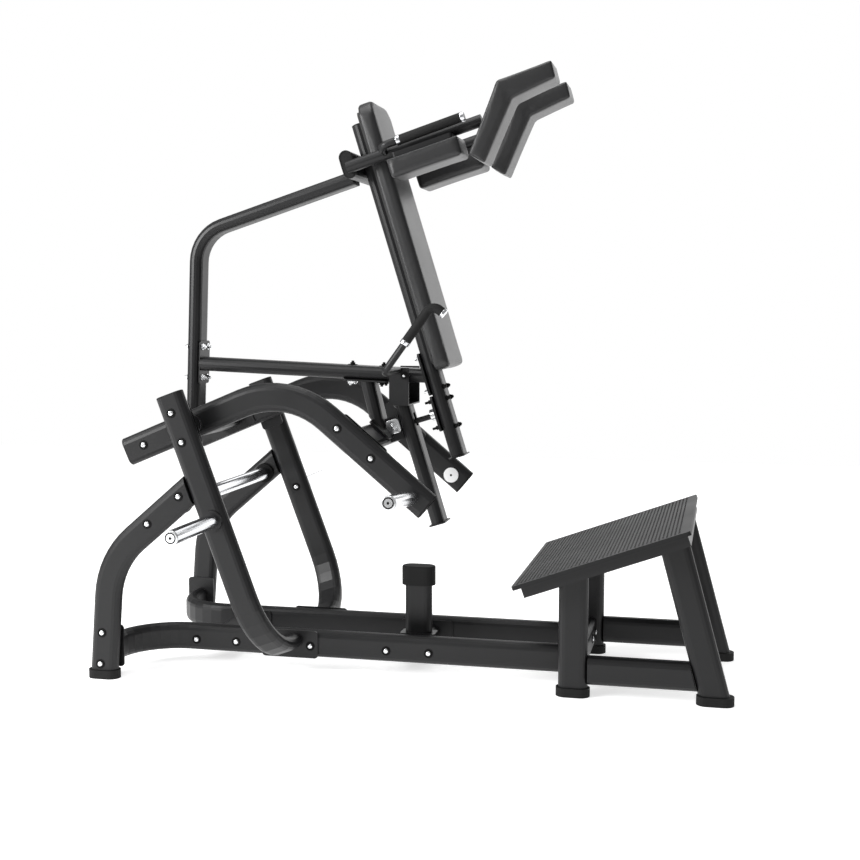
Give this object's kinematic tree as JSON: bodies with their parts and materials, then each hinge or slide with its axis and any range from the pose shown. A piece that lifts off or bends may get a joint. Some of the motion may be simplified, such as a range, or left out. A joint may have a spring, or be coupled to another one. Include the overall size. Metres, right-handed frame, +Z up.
{
  "type": "leg press machine",
  "caption": "Plate-loaded lever squat machine: sloped platform, pivoting carriage with back, shoulder and neck pads, and a hand-released safety leg over a rubber stop.",
  "frame": {"origin": "on the floor under the middle of the machine's length and width", "axes": "+X towards the standing platform, the way the user faces; +Y to the user's left; +Z up"},
  "size_m": [2.228, 1.6, 2.1027],
  "materials": {
    "black_frame": "satin powder coat",
    "chrome_bar": "polished chrome",
    "bright_steel": "machined",
    "black_rubber": "matt",
    "upholstery": "smooth synthetic leather",
    "pad_board": "matt"
  },
  "bodies": {
    "frame": {"rear_leg_left": "black_frame", "rear_leg_right": "black_frame", "rear_foot_left": "black_rubber", "rear_foot_right": "black_rubber", "diagonal_strut_left": "black_frame", "diagonal_strut_right": "black_frame", "base_rail_left": "black_frame", "base_rail_right": "black_frame", "rear_rail_cross_member": "black_frame", "stop_cross_member": "black_frame", "stop_post": "black_frame", "stop_bumper": "black_rubber", "mid_leg_left": "black_frame", "mid_leg_right": "black_frame", "mid_foot_left": "black_rubber", "mid_foot_right": "black_rubber", "front_leg_left": "black_frame", "front_leg_right": "black_frame", "front_foot_left": "black_rubber", "front_foot_right": "black_rubber", "platform_side_rail_left": "black_frame", "platform_side_rail_right": "black_frame", "platform_cross_tube": "black_frame", "platform_frame": "black_frame", "tread_plate": "black_frame", "chrome_cross_tube": "chrome_bar", "pivot_housing_left": "black_frame", "pivot_housing_right": "black_frame", "storage_horn_left": "chrome_bar", "storage_horn_right": "chrome_bar", "storage_horn_base_left": "black_frame", "storage_horn_base_right": "black_frame"},
    "carriage": {"lever_arm_left": "black_frame", "lever_arm_right": "black_frame", "pivot_shaft_left": "bright_steel", "pivot_shaft_right": "bright_steel", "weight_horn_left": "chrome_bar", "weight_horn_right": "chrome_bar", "rear_arm_cross_member": "black_frame", "front_arm_cross_member": "black_frame", "upright_tube": "black_frame", "horizontal_tube": "black_frame", "strut": "black_frame", "back_post": "black_frame", "brace_bar": "black_frame", "back_pad": "upholstery", "back_pad_board": "pad_board", "head_cross_tube": "black_frame", "shoulder_bar_left": "black_frame", "shoulder_bar_right": "black_frame", "shoulder_pad_left": "upholstery", "shoulder_pad_right": "upholstery", "neck_pad_left": "upholstery", "neck_pad_right": "upholstery", "shoulder_handle_left": "black_frame", "shoulder_handle_right": "black_frame"},
    "safety_lever": {"lever_bracket": "black_frame", "lever_pivot_pin": "bright_steel", "drop_leg": "black_frame", "hip_handle": "black_frame"}
  },
  "joints": [
    {"name": "carriage_lift", "type": "hinge", "parent": "frame", "child": "carriage", "pos_m": [-0.757, 0, 0.893], "axis": [0, -1, 0], "range_deg": [-11.3, 10]},
    {"name": "safety_lever_swing", "type": "hinge", "parent": "carriage", "child": "safety_lever", "pos_m": [-0.05, 0, 1.06], "axis": [0, -1, 0], "range_deg": [0, 13]}
  ]
}
